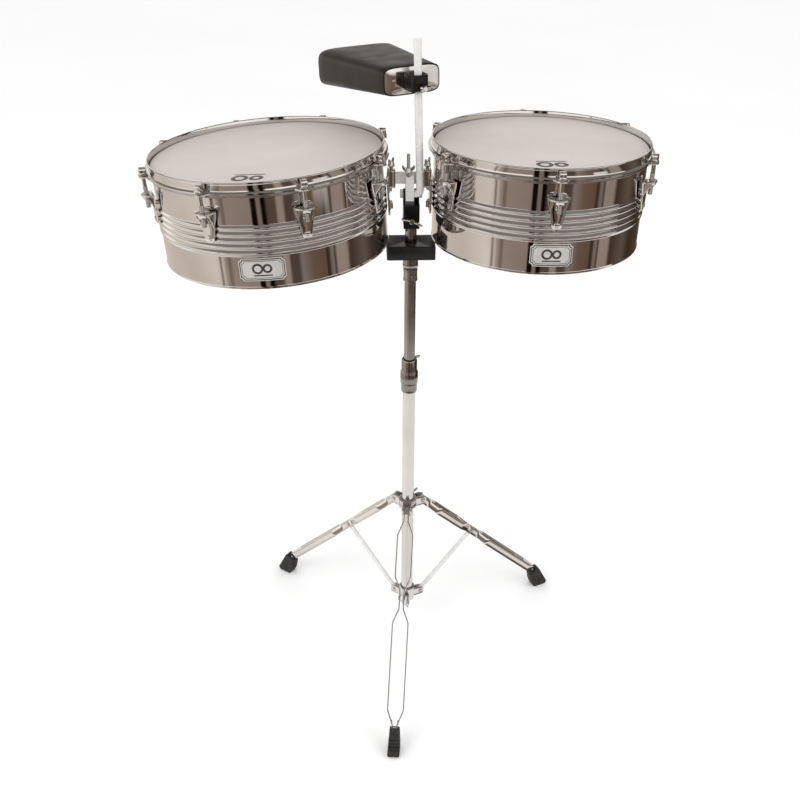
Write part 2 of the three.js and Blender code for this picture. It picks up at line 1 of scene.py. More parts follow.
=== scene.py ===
# Timbales on a folding stand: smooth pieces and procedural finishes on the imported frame.
# Shapes are written in millimetres in each part's own frame and placed by a matrix.
import math
import bmesh
import bpy
from mathutils import Matrix, Vector


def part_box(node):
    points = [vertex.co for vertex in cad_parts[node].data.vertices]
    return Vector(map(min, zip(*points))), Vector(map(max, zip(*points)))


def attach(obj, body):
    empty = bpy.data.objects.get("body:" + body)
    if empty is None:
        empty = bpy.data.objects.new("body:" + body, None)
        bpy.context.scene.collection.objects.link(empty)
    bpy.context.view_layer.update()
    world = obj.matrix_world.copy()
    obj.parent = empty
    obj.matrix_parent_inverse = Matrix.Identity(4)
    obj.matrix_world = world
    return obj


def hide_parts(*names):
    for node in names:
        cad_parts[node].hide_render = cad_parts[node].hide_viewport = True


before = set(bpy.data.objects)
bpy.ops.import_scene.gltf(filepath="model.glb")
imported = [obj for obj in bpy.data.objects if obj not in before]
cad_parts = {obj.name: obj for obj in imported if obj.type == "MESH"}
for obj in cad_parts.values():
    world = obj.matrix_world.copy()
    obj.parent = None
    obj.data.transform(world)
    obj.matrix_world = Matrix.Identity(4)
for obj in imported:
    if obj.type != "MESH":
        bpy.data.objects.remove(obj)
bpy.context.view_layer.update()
MM = 0.001
FLOOR = 7          # the pole's frame starts this far below the floor


# Frames

def turn(axis, degrees):
    return Matrix.Rotation(math.radians(degrees), 4, axis)


def shift(x, y, z):
    return Matrix.Translation((x * MM, y * MM, z * MM))


def centre_of(node):
    low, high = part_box(node)
    return (Vector(low) + Vector(high)) / 2


tube_centre = centre_of("lower_tube")
POLE = Matrix.Translation((tube_centre.x, tube_centre.y, -FLOOR * MM))
TILTED = POLE @ shift(0, 2, 920) @ turn("X", -0.69) @ shift(0, -2, -920)
POST = TILTED @ shift(13, -16, 925.5)
POST_LEAN = -1.8
BELL_LENGTH = 216
UPPER = POST @ turn("Y", POST_LEAN) @ shift(0, 0, 168)
BELL = UPPER @ turn("Z", 22.2)

DRUMS = {
    "left": {
        "radius": 176.4, "place": TILTED @ shift(-222.3, 0, 996.6) @ turn("Y", -3.6),
        "lugs": [20 + 45 * i for i in range(8)], "to_pole": 0,
        "badge": (-92.4, 33.8), "mark": -97, "sleeve": (-38, -25),
    },
    "right": {
        "radius": 163.7, "place": TILTED @ shift(198.8, 0, 1008.8) @ turn("Y", 0.54),
        "lugs": [30.5 + 60 * i for i in range(6)], "to_pole": 180,
        "badge": (-90.3, 31.3), "mark": -90, "sleeve": (18.5, 31),
    },
}
LEGS = {"front": -96.5, "right": 23.5, "left": 143.5}
LEG_ANGLE = 44.9
HUB_PIVOT = 321.5
COLLAR_PIVOT = 96
BRACE = (HUB_PIVOT - COLLAR_PIVOT) / 2 / math.cos(math.radians(LEG_ANGLE))


# Mesh shapes: each is (vertices, faces)

def moved(shape, matrix):
    scale = Matrix.Diagonal((MM, MM, MM, 1))
    local = scale.inverted() @ matrix @ scale
    return [local @ Vector(v) for v in shape[0]], shape[1]


def together(*shapes):
    verts, faces = [], []
    for part in shapes:
        start = len(verts)
        verts += list(part[0])
        faces += [[i + start for i in face] for face in part[1]]
    return verts, faces


def stacked(rings, closed_ends=True, loop=False):
    count = len(rings[0])
    verts = [point for ring in rings for point in ring]
    faces = []
    steps = len(rings) if loop else len(rings) - 1
    for r in range(steps):
        for k in range(count):
            a, b = r * count + k, r * count + (k + 1) % count
            c, d = ((r + 1) % len(rings)) * count + (k + 1) % count, ((r + 1) % len(rings)) * count + k
            faces.append([a, b, c, d])
    if closed_ends and not loop:
        faces.append(list(reversed(range(count))))
        faces.append([(len(rings) - 1) * count + k for k in range(count)])
    return verts, faces


def revolve(profile, sides=48):
    """Turns an outline of (radius, height) about Z. One that doesn't reach the axis closes on itself."""
    open_ends = profile[0][0] == 0
    rings = []
    for r, z in profile:
        r = max(r, 0.001)
        rings.append([
            (r * math.cos(2 * math.pi * k / sides), r * math.sin(2 * math.pi * k / sides), z)
            for k in range(sides)
        ])
    return stacked(rings, closed_ends=False, loop=not open_ends)


def sweep(path, section, loop=False, up=(0, 0, 1)):
    """Carries a section of (across, up) points along a path of points."""
    points = [Vector(p) for p in path]
    rings = []
    for i, point in enumerate(points):
        before = points[i - 1] if loop or i > 0 else point
        after = points[(i + 1) % len(points)] if loop or i + 1 < len(points) else point
        along = (after - before).normalized()
        across = along.cross(Vector(up)).normalized()
        rise = across.cross(along)
        rings.append([point + across * x + rise * y for x, y in section])
    return stacked(rings, loop=loop)


def circle(radius, sides=24, centre=(0, 0)):
    return [
        (centre[0] + radius * math.cos(2 * math.pi * k / sides),
         centre[1] + radius * math.sin(2 * math.pi * k / sides))
        for k in range(sides)
    ]


def arc(radius, start, end, steps, centre=(0, 0)):
    points = []
    for i in range(steps + 1):
        angle = math.radians(start + (end - start) * i / steps)
        points.append((centre[0] + radius * math.cos(angle), centre[1] + radius * math.sin(angle)))
    return points


def rounded(points, radius, steps=4):
    """The outline with each corner cut by a small curve."""
    result = []
    count = len(points)
    for i, point in enumerate(points):
        corner = Vector(point)
        back, ahead = Vector(points[i - 1]) - corner, Vector(points[(i + 1) % count]) - corner
        reach = min(radius, back.length * 0.45, ahead.length * 0.45)
        start, end = corner + back.normalized() * reach, corner + ahead.normalized() * reach
        for k in range(steps + 1):
            t = k / steps
            spot = start * (1 - t) ** 2 + corner * 2 * t * (1 - t) + end * t ** 2
            result.append((spot.x, spot.y))
    return result


def plate(outline, z, holes=(), edge=0.5):
    """A flat outline with holes, thickened from z[0] to z[1], its edges rounded."""
    curve = bpy.data.curves.new("outline", "CURVE")
    curve.dimensions = "2D"
    curve.fill_mode = "BOTH"
    curve.extrude = (z[1] - z[0]) / 2 - edge
    curve.bevel_depth = edge
    curve.bevel_resolution = 1
    curve.offset = -edge
    for ring in (outline, *holes):
        spline = curve.splines.new("POLY")
        spline.points.add(len(ring) - 1)
        for slot, (x, y) in zip(spline.points, ring):
            slot.co = (x, y, 0, 1)
        spline.use_cyclic_u = True
    holder = bpy.data.objects.new("outline", curve)
    bpy.context.collection.objects.link(holder)
    graph = bpy.context.evaluated_depsgraph_get()
    mesh = bpy.data.meshes.new_from_object(holder.evaluated_get(graph))
    middle = (z[0] + z[1]) / 2
    verts = [(v.co.x, v.co.y, v.co.z + middle) for v in mesh.vertices]
    faces = [list(p.vertices) for p in mesh.polygons]
    bpy.data.objects.remove(holder)
    bpy.data.curves.remove(curve)
    bpy.data.meshes.remove(mesh)
    return verts, faces


def block(x, y, z, edge=1.0):
    outline = rounded([(x[0], y[0]), (x[1], y[0]), (x[1], y[1]), (x[0], y[1])], edge * 2)
    return plate(outline, z, edge=edge)


def dome(radius, height, base=0.0):
    """A low bolt head about Z: a short rim and a crowned top."""
    points = [(0, base), (radius * 0.96, base)]
    points += [(radius, base + height * 0.12), (radius, base + height * 0.35)]
    for i in range(1, 7):
        angle = math.radians(90 * i / 6)
        points.append((radius * math.cos(angle), base + height * (0.35 + 0.65 * math.sin(angle))))
    points[-1] = (0, base + height)
    return revolve(points, 28)


def pillar(radius, z, edge=0.4):
    return revolve([
        (0, z[0]), (radius - edge, z[0]), (radius, z[0] + edge),
        (radius, z[1] - edge), (radius - edge, z[1]), (0, z[1]),
    ], 28)


def threaded(radius, z, pitch=1.25, sides=20):
    """A shank about Z with one ring for each turn of its thread."""
    points = [(0, z[0])]
    steps = int((z[1] - z[0]) / pitch)
    for i in range(steps):
        base = z[0] + i * pitch
        points.append((radius * 0.86, base))
        points.append((radius, base + pitch / 2))
    points += [(radius * 0.86, z[1]), (0, z[1])]
    return revolve(points, sides)


ALONG_X = turn("Y", 90)
FACE_OUT = turn("X", 90) @ turn("Y", 90)      # an outline's X turns to Y, its Y to Z, its thickness to X


# Pieces

def piece(name, shape, place, body, finish, replaced=(), sharp=35):
    mesh = bpy.data.meshes.new(name)
    mesh.from_pydata([place @ (Vector(v) * MM) for v in shape[0]], [], shape[1])
    work = bmesh.new()
    work.from_mesh(mesh)
    bmesh.ops.remove_doubles(work, verts=work.verts, dist=2e-6)
    bmesh.ops.dissolve_degenerate(work, edges=work.edges, dist=1e-6)
    bmesh.ops.recalc_face_normals(work, faces=work.faces)
    for face in work.faces:
        face.smooth = True
    for edge in work.edges:
        edge.smooth = edge.calc_face_angle(0) < math.radians(sharp)
    work.to_mesh(mesh)
    work.free()
    mesh.materials.append(finish)
    obj = bpy.data.objects.new(name, mesh)
    bpy.context.collection.objects.link(obj)
    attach(obj, body)
    if replaced:
        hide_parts(*replaced)
    return obj


def softened(node, finish, width):
    """A CAD node that keeps its shape, with rounded edges and its finish."""
    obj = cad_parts[node]
    obj.data.materials.clear()
    obj.data.materials.append(finish)
    for polygon in obj.data.polygons:
        polygon.material_index = 0
    bevel = obj.modifiers.new("edges", "BEVEL")
    bevel.width = width * MM
    bevel.segments = 2
    bevel.limit_method = "ANGLE"
    bevel.angle_limit = math.radians(40)
    bevel.harden_normals = True


# Finishes

class Finish:
    """A Principled material and the few nodes that the finishes below share."""

    def __init__(self, name, colour, metallic, roughness):
        self.material = bpy.data.materials.new(name)
        self.material.use_nodes = True
        self.tree = self.material.node_tree
        self.shader = self.tree.nodes["Principled BSDF"]
        self.shader.inputs["Base Color"].default_value = (*colour, 1)
        self.shader.inputs["Metallic"].default_value = metallic
        self.shader.inputs["Roughness"].default_value = roughness
        self.bumps = []

    def node(self, kind, **settings):
        made = self.tree.nodes.new(kind)
        for key, value in settings.items():
            setattr(made, key, value)
        return made

    def coordinates(self, stretch):
        place = self.node("ShaderNodeTexCoord")
        mapping = self.node("ShaderNodeMapping")
        mapping.inputs["Scale"].default_value = stretch
        self.tree.links.new(place.outputs["Object"], mapping.inputs["Vector"])
        return mapping.outputs["Vector"]

    def noise(self, scale, detail=4, stretch=(1, 1, 1)):
        made = self.node("ShaderNodeTexNoise")
        made.inputs["Scale"].default_value = scale
        made.inputs["Detail"].default_value = detail
        self.tree.links.new(self.coordinates(stretch), made.inputs["Vector"])
        return made.outputs["Fac"]

    def ramp(self, source, low, high, start, end):
        made = self.node("ShaderNodeValToRGB")
        made.color_ramp.elements[0].position = start
        made.color_ramp.elements[1].position = end
        made.color_ramp.elements[0].color = (*low, 1)
        made.color_ramp.elements[1].color = (*high, 1)
        self.tree.links.new(source, made.inputs["Fac"])
        return made.outputs["Color"]

    def colour(self, source, low, high, start=0.3, end=0.7):
        self.tree.links.new(self.ramp(source, low, high, start, end), self.shader.inputs["Base Color"])

    def roughness(self, source, low, high, start=0.3, end=0.7):
        made = self.node("ShaderNodeMapRange")
        made.inputs["From Min"].default_value = start
        made.inputs["From Max"].default_value = end
        made.inputs["To Min"].default_value = low
        made.inputs["To Max"].default_value = high
        self.tree.links.new(source, made.inputs["Value"])
        self.tree.links.new(made.outputs["Result"], self.shader.inputs["Roughness"])

    def bump(self, source, strength, distance):
        made = self.node("ShaderNodeBump")
        made.inputs["Strength"].default_value = strength
        made.inputs["Distance"].default_value = distance
        self.tree.links.new(source, made.inputs["Height"])
        if self.bumps:
            self.tree.links.new(self.bumps[-1].outputs["Normal"], made.inputs["Normal"])
        self.bumps.append(made)
        self.tree.links.new(made.outputs["Normal"], self.shader.inputs["Normal"])


def plated(name, dark, light, smooth, worn, grain=(1, 1, 1), ripple=0.02):
    """Plated metal: a faint cloudy tint, haze in the gloss, fine polishing lines and a slight ripple."""
    made = Finish(name, light, 1.0, smooth)
    made.colour(made.noise(9, 3), dark, light, 0.35, 0.65)
    made.roughness(made.noise(38, 6), smooth, worn, 0.42, 0.72)
    made.bump(made.noise(14, 2), ripple, 0.002)
    made.bump(made.noise(900, 2, grain), 0.012, 0.0002)
    return made.material


def chrome_finish():
    return plated("bright_chrome", (0.70, 0.68, 0.66), (0.80, 0.785, 0.765), 0.035, 0.09)


def shell_finish():
    return plated("shell_chrome", (0.66, 0.64, 0.62), (0.76, 0.74, 0.72), 0.03, 0.08, (1, 1, 0.05), 0.035)


def dark_chrome_finish():
    return plated("smoked_chrome", (0.30, 0.28, 0.26), (0.42, 0.40, 0.38), 0.09, 0.2, (1, 1, 0.05), 0.03)


def zinc_finish():
    return plated("zinc", (0.42, 0.41, 0.40), (0.58, 0.57, 0.55), 0.22, 0.38, (0.1, 0.1, 1), 0.03)


def bright_finish():
    """Bright zinc on a flat bar: part mirror, part white haze."""
    made = Finish("bright_zinc", (0.86, 0.85, 0.83), 0.2, 0.3)
    made.colour(made.noise(30, 4), (0.80, 0.79, 0.77), (0.90, 0.89, 0.87))
    made.roughness(made.noise(60, 5), 0.2, 0.36)
    made.bump(made.noise(700, 2, (1, 1, 0.1)), 0.05, 0.0002)
    return made.material


def painted_black(name, low, high, smooth, rough, texture, gloss):
    made = Finish(name, high, 0.0, rough)
    made.shader.inputs["Specular IOR Level"].default_value = gloss
    made.colour(made.noise(60, 5), low, high)
    made.roughness(made.noise(30, 5), smooth, rough)
    made.bump(made.noise(texture, 3), 0.18, 0.0004)
    return made.material


def rubber_finish():
    made = Finish("foot_rubber", (0.016, 0.015, 0.015), 0.0, 0.75)
    made.colour(made.noise(90, 6), (0.014, 0.013, 0.012), (0.042, 0.039, 0.036), 0.3, 0.75)
    made.roughness(made.noise(50, 4), 0.55, 0.85)
    made.bump(made.noise(1400, 2), 0.3, 0.0004)
    return made.material


def dark_mirror_finish():
    made = Finish("bell_heel_mirror", (0.8, 0.78, 0.75), 1.0, 0.05)
    made.colour(made.noise(30, 4), (0.74, 0.72, 0.69), (0.84, 0.82, 0.80))
    made.roughness(made.noise(50, 5), 0.04, 0.1)
    made.bump(made.noise(24, 2), 0.05, 0.002)
    return made.material


def film_finish():
    """Hazy plastic film: slightly mottled, with a fine sprayed grain and a soft sheen."""
    made = Finish("head_film", (0.66, 0.63, 0.60), 0.0, 0.4)
    made.shader.inputs["Subsurface Weight"].default_value = 0.12
    made.shader.inputs["Subsurface Radius"].default_value = (0.02, 0.018, 0.015)
    made.shader.inputs["Subsurface Scale"].default_value = 0.2
    made.shader.inputs["Coat Weight"].default_value = 0.12
    made.shader.inputs["Coat Roughness"].default_value = 0.3
    made.colour(made.noise(5, 5), (0.545, 0.50, 0.465), (0.60, 0.555, 0.52), 0.3, 0.7)
    made.roughness(made.noise(22, 4), 0.34, 0.5)
    made.bump(made.noise(1100, 2), 0.12, 0.0002)
    return made.material


def badge_finish():
    made = Finish("badge_plate", (0.72, 0.70, 0.68), 0.6, 0.35)
    made.colour(made.noise(40, 4), (0.70, 0.69, 0.67), (0.80, 0.79, 0.77))
    made.roughness(made.noise(60, 4), 0.28, 0.42)
    made.bump(made.noise(700, 2, (1, 1, 8)), 0.06, 0.0002)
    return made.material


def enamel_finish():
    made = Finish("dark_enamel", (0.03, 0.028, 0.027), 0.0, 0.3)
    made.colour(made.noise(120, 4), (0.018, 0.017, 0.016), (0.05, 0.047, 0.044))
    made.roughness(made.noise(80, 3), 0.22, 0.4)
    return made.material


CHROME = chrome_finish()
SHELL = shell_finish()
SMOKED = dark_chrome_finish()
ZINC = zinc_finish()
BRIGHT = bright_finish()
CAST = painted_black(
    "black_cast", (0.0035, 0.003, 0.003), (0.007, 0.006, 0.0055), 0.25, 0.4, 420, gloss=0.25)
BLOCK = painted_black(
    "black_block", (0.006, 0.0055, 0.005), (0.014, 0.0125, 0.011), 0.3, 0.45, 300, gloss=0.4)
PLASTIC = painted_black(
    "black_plastic", (0.0035, 0.0035, 0.003), (0.008, 0.0075, 0.007), 0.2, 0.35, 500, gloss=0.3)
PAINT = painted_black(
    "bell_paint", (0.007, 0.006, 0.0045), (0.013, 0.011, 0.009), 0.36, 0.48, 800, gloss=0.35)
MIRROR = dark_mirror_finish()
RUBBER = rubber_finish()
FILM = film_finish()
BADGE = badge_finish()
ENAMEL = enamel_finish()


# Screws and small hardware

def wing_shape(shank, length, span):
    """A wing screw along Z with a threaded shank, a waisted hub and two rounded ears."""
    half = span / 2
    top = length
    ear = [
        (2.5, top + 1.2), (half * 0.45, top + 1.6), (half * 0.8, top + 4.5), (half, top + 8.5),
        (half * 0.98, top + 11.8), (half * 0.82, top + 13), (half * 0.62, top + 11), (half * 0.42, top + 8.6),
        (2.5, top + 8.2),
    ]
    wing = moved(plate(rounded(ear, 2.5, 3), (-1.5, 1.5), edge=0.7), turn("X", 90))
    hub = revolve([
        (0, top), (4.9, top), (5.5, top + 0.7), (5.4, top + 3), (4.6, top + 6), (4.2, top + 8.4),
        (3.4, top + 9), (0, top + 9),
    ], 28)
    return together(threaded(shank, (0, top + 0.5)), hub, wing, moved(wing, turn("Z", 180)))


def wing_screw(node, body, place, shank, length, span):
    piece(node + "_made", wing_shape(shank, length, span), place, body, CHROME, [node])


# Stand

def tube(inner, outer, z):
    edge = 0.4
    return revolve([
        (inner, z[0]), (outer - edge, z[0]), (outer, z[0] + edge),
        (outer, z[1] - edge), (outer - edge, z[1]), (inner, z[1]),
    ], 64)


def held(points):
    """The line with a point near each end of its long runs, so that they stay flat between the bends."""
    margin = 1.2
    result = []
    for start, end in zip(points, points[1:]):
        start, end = Vector(start), Vector(end)
        run = end - start
        result.append(tuple(start))
        if run.length > 4 * margin:
            step = run.normalized() * margin
            result += [tuple(start + step), tuple(end - step)]
    result.append(tuple(points[-1]))
    return result


def leg_shape():
    """Two flat strips bowed apart in two bays, with spacers between their ends and two rivets."""
    bends = [
        (21, 3.9), (46, 14), (122, 14), (BRACE - 12, 3.8),
        (BRACE + 20, 3.8), (204, 14), (355, 14), (380, 3.9),
    ]
    line = [(-6, 3.7), *rounded([(-6, 3.7), *bends, (391, 3.8)], 3)[5:-5], (391, 3.8)]
    flat = [(-1, -6.4), (-0.6, -7), (0.6, -7), (1, -6.4), (1, 6.4), (0.6, 7), (-0.6, 7), (-1, 6.4)]
    strips = [sweep([(x, side * y, 0) for x, y in held(line)], flat) for side in (1, -1)]
    spacers = [block(x, (-3.2, 3.2), (-6.4, 6.4), 0.4) for x in ((-4, 7), (383, 390))]
    rivets = []
    for x in (BRACE, 375):
        head = dome(4.6, 2.4, 4.6)
        rivets.append(moved(head, shift(x, 0, 0) @ turn("X", -90)))
        rivets.append(moved(head, shift(x, 0, 0) @ turn("X", 90)))
    return together(*strips, *spacers, *rivets)


def foot_shape():
    """Rubber foot: a leaning wedge, narrower at the top, with four grooves across its outer face."""
    low, high = Vector((330.4, 8)), Vector((311.5, 44.6))
    up = (high - low).normalized()
    inward = Vector((-up.y, up.x))
    face = [low]
    for start in (7, 13, 19, 25):
        for along, deep in ((0, 0), (0.4, 2.2), (2.4, 2.2), (2.8, 0)):
            face.append(low + up * (start + along) + inward * deep)
    outline = [(300.4, 0), (327.6, 0), (330.6, 4), *face, high, (307.2, 47.6), (303.2, 46.2), (290.5, 37.3),
               (289.9, 33), (294.2, 15)]
    rings = []
    for y, shrink in ((-10.9, 0.08), (-10.2, 0.025), (-9, 0), (9, 0), (10.2, 0.025), (10.9, 0.08)):
        ring = []
        for x, z in rounded(outline, 3):
            x, z = x + (311 - x) * shrink, z + (22 - z) * shrink
            ring.append((x, y * (1 - 0.25 * z / 48), z))
        rings.append(ring)
    return stacked(rings)


def strut_shape():
    """A flat bar with round eyes, narrower between them, and a pressed rib along its middle."""
    waist = [(16, 4.6), (BRACE - 16, 4.6)]
    near, far = arc(6.8, 60, 300, 14), arc(6.8, -120, 120, 14, (BRACE, 0))
    outline = [*near, *[(x, -y) for x, y in waist], *far, *waist[::-1]]
    bar = moved(plate(outline, (-1.9, 1.9), [circle(3.6, 16)], 0.5), turn("X", 90))
    crease = moved(plate(rounded([(18, -2), (BRACE - 20, -2), (BRACE - 20, 2), (18, 2)], 3),
                         (-2.4, 2.4), edge=0.7), turn("X", 90))
    return together(bar, crease)


def clevis_shape(pivot, low, high, gap_half, outer_half):
    """Two cheeks with a pin through them, its heads outside, pointing along X."""
    side = rounded([(10, low), (28, low), (35, pivot - 7), (35, pivot + 7), (28, high), (10, high)], 4)
    cheek = moved(plate(side, (gap_half + 0.1, outer_half), edge=0.6), turn("X", 90))
    other = moved(plate(side, (-outer_half, -gap_half - 0.1), edge=0.6), turn("X", 90))
    pin = moved(pillar(2.9, (-outer_half - 1, outer_half + 1)), shift(28, 0, pivot) @ turn("X", 90))
    head = moved(dome(4.6, 2, outer_half - 0.2), shift(28, 0, pivot) @ turn("X", 90))
    tail = moved(dome(4.6, 2, outer_half - 0.2), shift(28, 0, pivot) @ turn("X", -90))
    return together(cheek, other, pin, head, tail)


def carrier(node, body, ring_profile, pivot, low, high, gap_half, outer_half, extra=()):
    parts = [revolve(ring_profile, 64)]
    for azimuth in LEGS.values():
        parts.append(moved(clevis_shape(pivot, low, high, gap_half, outer_half), turn("Z", azimuth)))
    piece(node + "_made", together(*parts, *extra), POLE, body, CHROME, [node])


def make_stand():
    for side, azimuth in LEGS.items():
        around = POLE @ turn("Z", azimuth)
        along = around @ shift(28, 0, HUB_PIVOT) @ turn("Y", 90 - LEG_ANGLE)
        piece("leg_" + side + "_made", leg_shape(), along, "leg_" + side, CHROME, ["leg_" + side])
        ground = around @ shift(0, 0, FLOOR)
        piece("foot_" + side + "_made", foot_shape(), ground, "leg_" + side, RUBBER, ["foot_" + side])
        brace = around @ shift(28, 0, COLLAR_PIVOT) @ turn("Y", LEG_ANGLE - 90)
        piece("strut_" + side + "_made", strut_shape(), brace, "strut_" + side, BRIGHT, ["strut_" + side])
    boss = moved(pillar(6.4, (12.5, 22)), turn("Z", 78) @ shift(0, 0, 322) @ turn("Y", 90))
    hub_ring = [
        (11.5, 312.3), (15.6, 312.2), (16.8, 313.4), (16.8, 321), (16.3, 322), (16.3, 327),
        (16.8, 328), (16.6, 330), (15.4, 330.8), (11.5, 330.8),
    ]
    carrier("hub", "hub", hub_ring, HUB_PIVOT, 311.8, 331.2, 5, 8, [boss])
    collar_ring = [(11.4, 86.3), (13.6, 86.3), (14.8, 87.6), (14.8, 116), (13.6, 117.6), (11.4, 117.6)]
    carrier("strut_collar", "stand_base", collar_ring, COLLAR_PIVOT, 88.3, 105.7, 2.5, 5.5)
    piece("lower_tube_made", tube(9.9, 11.1, (84.2, 599.8)), POLE, "stand_base", CHROME, ["lower_tube"])
    piece("upper_tube_made", tube(7.9, 9.5, (450.2, 902.8)), POLE, "mast", SMOKED, ["upper_tube"])
    make_height_clamp()
    lock = [(9.7, 773.2), (11, 773.2), (11.9, 774.4), (11.9, 778), (11.4, 778.6), (11.4, 790.4), (11.9, 791),
            (11.9, 794.6), (11, 795.8), (9.7, 795.8)]
    key = moved(pillar(3.6, (10.5, 13.5)), shift(0, 0, 784.5) @ turn("Z", -70) @ turn("Y", 90))
    piece("memory_lock_made", together(revolve(lock, 64), key), POLE, "mast", SMOKED, ["memory_lock"])
    hub_screw = POLE @ turn("Z", 78) @ shift(11.6, 0, 322) @ turn("Y", 90) @ turn("Z", 60)
    wing_screw("hub_wing_screw", "hub_screw", hub_screw, 3, 14, 30)
    height_screw = POLE @ turn("Z", 80) @ shift(10, 0, 615) @ turn("Y", 90) @ turn("Z", 90)
    wing_screw("height_wing_screw", "height_screw", height_screw, 3, 14, 30)


def make_height_clamp():
    profile = [
        (11.5, 564.2), (13.5, 564.2), (14, 565.4), (14, 579.6), (14.6, 580), (15.3, 582), (15.3, 601.5),
        (14.6, 603.4), (13.7, 604.6), (13.5, 606), (13.5, 624.6), (12.6, 626.8), (9.9, 626.8), (9.9, 601),
        (11.5, 600),
    ]
    boss = moved(block((9, 20.8), (-6.8, 6.8), (607.2, 622.8), 1.6), turn("Z", 80))
    groove = revolve([(15.0, 590), (15.7, 590.8), (15.7, 593.2), (15.0, 594)], 64)
    piece("height_clamp_made", together(revolve(profile, 64), boss, groove), POLE, "stand_base", SMOKED,
          ["height_clamp"])


# Head of the stand

def make_head():
    collar = [
        (9.7, 797.7), (12.2, 797.7), (12.9, 799), (12.9, 803), (12.4, 803.6), (12.4, 811),
        (12.9, 811.6), (12.9, 816.6), (12.3, 817.5), (9.7, 817.5),
    ]
    piece("swivel_collar_made", revolve(collar, 64), POLE, "head", SMOKED, ["swivel_collar"])
    outline = rounded([(-39, -26), (39, -26), (39, 30), (-39, 30)], 2.5)
    body = plate(outline, (818.2, 840.8), [circle(9.8, 40)], 1.1)
    piece("support_block_made", body, POLE, "head", BLOCK, ["support_block"])
    softened("tilt_clamp", CAST, 0.9)
    screw = POLE @ shift(0, -10, 886) @ turn("X", 90) @ turn("Z", -20)
    wing_screw("tube_wing_screw", "tube_screw", screw, 3, 16, 35)
    face = rounded([(-38.6, 936.6), (31.4, 936.6), (31.4, 955.2), (-38.6, 955.2)], 1.2)
    bar = moved(plate(face, (-2.4, 2.4), edge=0.7), turn("X", 90))
    piece("rail_made", bar, TILTED, "rail_body", BRIGHT, ["rail"])
    softened("rail_tongue", BRIGHT, 0.8)
    nut = TILTED @ shift(-5.4, -16, 932.3)
    wing_screw("post_wing_nut", "stud_nut", nut, 3, 25.5, 20.5)
    stud = moved(threaded(2.9, (0, 22)), shift(-5.4, -16, 966))
    piece("post_stud_tip", stud, TILTED, "stud_nut", CHROME)


# Drums

def shell_outline(radius):
    points = [(radius - 1.2, -10.7), (radius - 0.6, -10.1), (radius, -10.8), (radius, -11.6), (radius, -61.8),
              (radius, -62.5)]
    inner = [(radius - 1.2, -61.8)]
    steps = 10
    for bead in range(5):
        for k in range(1, steps + 1):
            z = -62.5 - (bead + k / steps) * 9.4
            swell = 2.2 * math.sin(math.pi * k / steps) ** 1.4
            points.append((radius + swell, z))
            inner.append((radius - 1.2 + swell, z))
    points += [(radius, -110.2), (radius, -155.4), (radius, -156), (radius + 0.5, -157)]
    points += [(radius + 0.9, -158.2), (radius + 0.4, -159.4), (radius - 0.7, -159.5), (radius - 1.2, -158.6)]
    return points + inner[::-1]


def lug_shape(radius):
    """Cast lug: a tapering plate on two bolts, a shelf with webs, and the threaded boss for the rod."""
    plan = [
        (-16.2, -41), (-15.4, -47), (-11.5, -62), (-8.2, -80), (-6.6, -86.5), (-3, -88),
        (3, -88), (6.6, -86.5), (8.2, -80), (11.5, -62), (15.4, -47), (16.2, -41),
    ]
    back = moved(plate(plan, (radius + 3.6, radius + 6.4), edge=0.9), FACE_OUT)
    rim = [(x * 1.05 + radius + 4.6, y) for x, y in arc(16.4, -90, 90, 18)]
    shelf = plate(rim, (-43.4, -40.6), [circle(4.4, 20, (radius + 13.5, 0))], 0.9)
    side = [
        (radius + 4.5, -42), (radius + 18.4, -42), (radius + 15, -49),
        (radius + 9.5, -56), (radius + 4.5, -69),
    ]
    webs = [moved(plate(side, y, edge=0.6), turn("X", 90)) for y in ((9, 11.4), (-11.4, -9))]
    boss = revolve([
        (4.4, -42), (7.2, -42), (7, -46), (6.2, -48.4), (5.4, -49), (4.4, -49),
    ], 28)
    bolts = []
    for z in (-56, -81):
        stud = moved(pillar(3.4, (radius - 0.6, radius + 5)), shift(0, 0, z) @ ALONG_X)
        bolts += [stud, moved(dome(4.4, 2.1, radius + 6.3), shift(0, 0, z) @ ALONG_X)]
    return together(back, shelf, *webs, moved(boss, shift(radius + 13.5, 0, 0)), *bolts)


def hoop_outline(radius):
    return [
        (radius + 2.2, -16.2), (radius + 2.6, -16.5), (radius + 9.0, -16.5), (radius + 9.5, -16.1),
        (radius + 9.5, -14.1), (radius + 9.0, -13.6), (radius + 5.6, -13.5), (radius + 4.7, -12.9),
        (radius + 4.35, -11.8), (radius + 4.3, -2.6), (radius + 4.6, -1.4), (radius + 4.3, -0.4),
        (radius + 3.4, 0), (radius + 2.5, -0.3), (radius + 2.2, -1.2),
    ]


def ear_shape(radius):
    tip = [(x + radius + 11, y) for x, y in arc(9.4, -80, 80, 12)]
    outline = [(radius + 5, -14), (radius + 8.5, -12.5), *tip, (radius + 8.5, 12.5), (radius + 5, 14)]
    return plate(outline, (-16.4, -13.6), [circle(4.4, 20, (radius + 13.5, 0))], 0.8)


